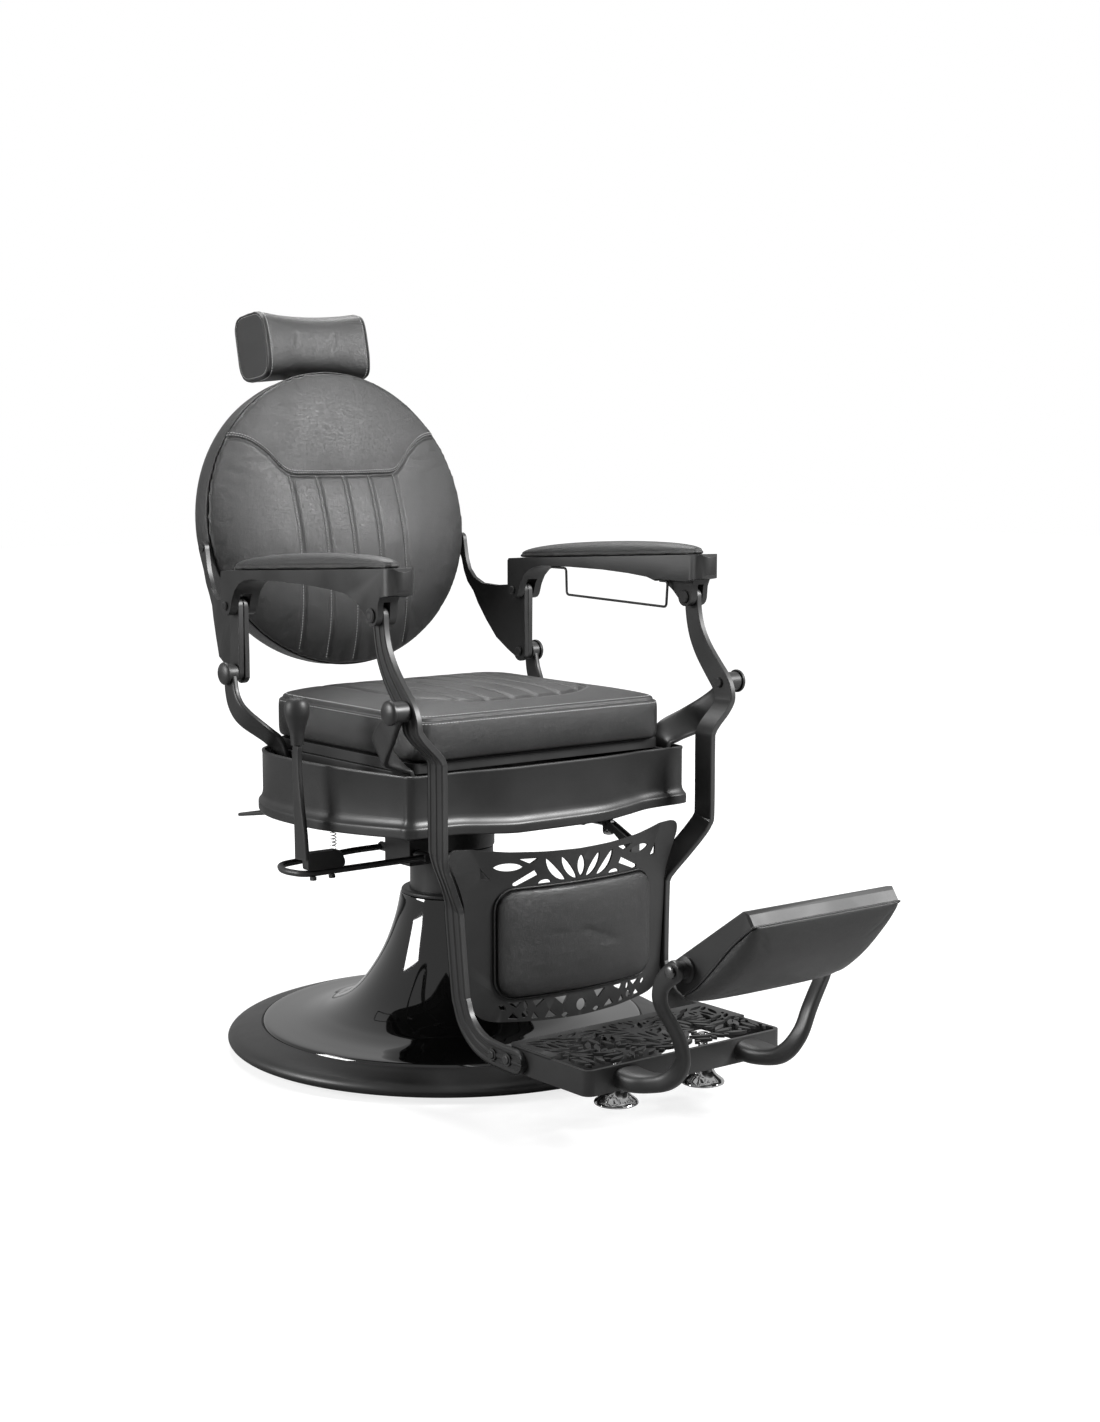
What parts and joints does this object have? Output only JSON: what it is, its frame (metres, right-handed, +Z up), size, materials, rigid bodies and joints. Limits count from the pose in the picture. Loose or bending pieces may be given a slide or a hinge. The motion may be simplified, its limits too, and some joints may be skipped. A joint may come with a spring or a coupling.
{
  "type": "barber chair",
  "caption": "Padded barber chair with oval back, sliding headrest, swinging leg rest and openwork tread, on a lifting, swivelling column over a domed round base.",
  "frame": {"origin": "centre of the base, on the floor", "axes": "+Z up, the chair faces -Y, so +X is the sitter's left"},
  "size_m": [0.7, 1.3004, 1.1449],
  "materials": {
    "satin_black_paint": "satin black powder coat",
    "satin_black_casting": "satin black powder coat over cast aluminium",
    "black_plywood": "black stained plywood",
    "black_board": "matt black moulded shell",
    "gloss_black_paint": "gloss black enamel",
    "black_leather": "matt black upholstery leather with fine grain",
    "chrome": "polished chrome plate",
    "dark_steel": "oiled dark steel",
    "black_rubber": "moulded black rubber"
  },
  "bodies": {
    "base": {"base_disc": "satin_black_paint", "base_cover": "gloss_black_paint", "pump_cylinder": "dark_steel", "column_collar": "satin_black_paint"},
    "column": {"lift_column": "satin_black_paint", "piston_rod": "chrome"},
    "seat": {"seat_hub": "satin_black_paint", "seat_frame": "satin_black_paint", "seat_skirt": "satin_black_paint", "seat_board": "black_plywood", "seat_cushion": "black_leather", "front_bracket_left": "satin_black_paint", "front_bracket_right": "satin_black_paint", "rear_bracket_left": "satin_black_paint", "rear_bracket_right": "satin_black_paint", "front_pivot_bolt_left": "satin_black_paint", "front_pivot_bolt_right": "satin_black_paint", "rear_pivot_bolt_left": "satin_black_paint", "rear_pivot_bolt_right": "satin_black_paint", "gas_spring_cylinder": "dark_steel", "pump_head": "satin_black_paint"},
    "back": {"back_cushion": "black_leather", "back_shell": "black_leather", "back_bracket_left": "satin_black_casting", "back_bracket_right": "satin_black_casting", "rear_link_left": "satin_black_casting", "rear_link_right": "satin_black_casting", "headrest_guide": "satin_black_paint", "headrest_clamp_knob": "black_rubber", "armrest_rear_bolt_left": "satin_black_paint", "armrest_rear_bolt_right": "satin_black_paint"},
    "headrest": {"headrest_post": "dark_steel", "headrest_cushion": "black_leather"},
    "armrest_left": {"armrest_left": "satin_black_casting", "arm_pad_left": "black_leather", "towel_bar": "satin_black_paint"},
    "armrest_right": {"armrest_right": "satin_black_casting", "arm_pad_right": "black_leather"},
    "leg_frame": {"front_strap_left": "satin_black_casting", "front_strap_right": "satin_black_casting", "kick_plate": "satin_black_casting", "kick_panel_pad": "black_leather", "foot_plate": "satin_black_casting", "tread_foot_left": "chrome", "tread_foot_right": "chrome", "footrest_arm_left": "satin_black_casting", "footrest_arm_right": "satin_black_casting", "armrest_front_bolt_left": "satin_black_paint", "armrest_front_bolt_right": "satin_black_paint"},
    "calf_pad": {"calf_pad_shell": "black_board", "calf_pad_cushion": "black_leather", "calf_pad_bolt_left": "dark_steel", "calf_pad_bolt_right": "dark_steel"},
    "gas_rod": {"gas_spring_rod": "chrome"},
    "pump_lever": {"pump_loop": "satin_black_paint", "lever_clamp": "satin_black_paint", "side_lever": "satin_black_paint", "lever_knob": "black_rubber", "return_spring": "chrome"},
    "release_handle": {"release_handle": "satin_black_paint"}
  },
  "joints": [
    {"name": "seat_lift", "type": "slide", "parent": "base", "child": "column", "axis": [0, 0, 1], "range_m": [0, 0.13]},
    {"name": "seat_swivel", "type": "hinge", "parent": "column", "child": "seat", "pos_m": [0, 0, 0.313], "axis": [0, 0, 1], "continuous": true},
    {"name": "back_recline", "type": "hinge", "parent": "seat", "child": "back", "pos_m": [0, 0.171, 0.585], "axis": [-1, 0, 0], "range_deg": [0, 35]},
    {"name": "headrest_height", "type": "slide", "parent": "back", "child": "headrest", "axis": [0, 0.1323, 0.9912], "range_m": [0, 0.1]},
    {"name": "armrest_left_hinge", "type": "hinge", "parent": "back", "child": "armrest_left", "pos_m": [0.2773, 0.17, 0.688], "axis": [1, 0, 0], "range_deg": [0, 41]},
    {"name": "armrest_right_hinge", "type": "hinge", "parent": "back", "child": "armrest_right", "pos_m": [-0.2773, 0.17, 0.688], "axis": [1, 0, 0], "range_deg": [0, 41]},
    {"name": "leg_frame_swing", "type": "hinge", "parent": "seat", "child": "leg_frame", "pos_m": [0, -0.303, 0.573], "axis": [-1, 0, 0], "range_deg": [0, 33]},
    {"name": "calf_pad_tilt", "type": "hinge", "parent": "leg_frame", "child": "calf_pad", "pos_m": [0, -0.7, 0.267], "axis": [-1, 0, 0], "range_deg": [0, 90]},
    {"name": "gas_spring_stroke", "type": "slide", "parent": "seat", "child": "gas_rod", "axis": [0, -1, 0], "range_m": [0, 0.121]},
    {"name": "pump_lever_stroke", "type": "hinge", "parent": "seat", "child": "pump_lever", "pos_m": [-0.11, 0, 0.318], "axis": [0, -1, 0], "range_deg": [0, 12], "stiffness_Nm_per_rad": 9, "springref_deg": -31.51, "deforming": ["return_spring"]},
    {"name": "recline_release", "type": "hinge", "parent": "seat", "child": "release_handle", "pos_m": [-0.212, 0.105, 0.374], "axis": [1, 0, 0], "range_deg": [0, 12], "stiffness_Nm_per_rad": 0.4, "springref_deg": -20.05}
  ],
  "couplings": [
    {"joint": "armrest_left_hinge", "follows": "back_recline", "ratio": 1.148},
    {"joint": "armrest_right_hinge", "follows": "back_recline", "ratio": 1.148},
    {"joint": "leg_frame_swing", "follows": "back_recline", "ratio": 0.926},
    {"joint": "gas_spring_stroke", "follows": "back_recline", "m_per_rad": 0.19667}
  ]
}
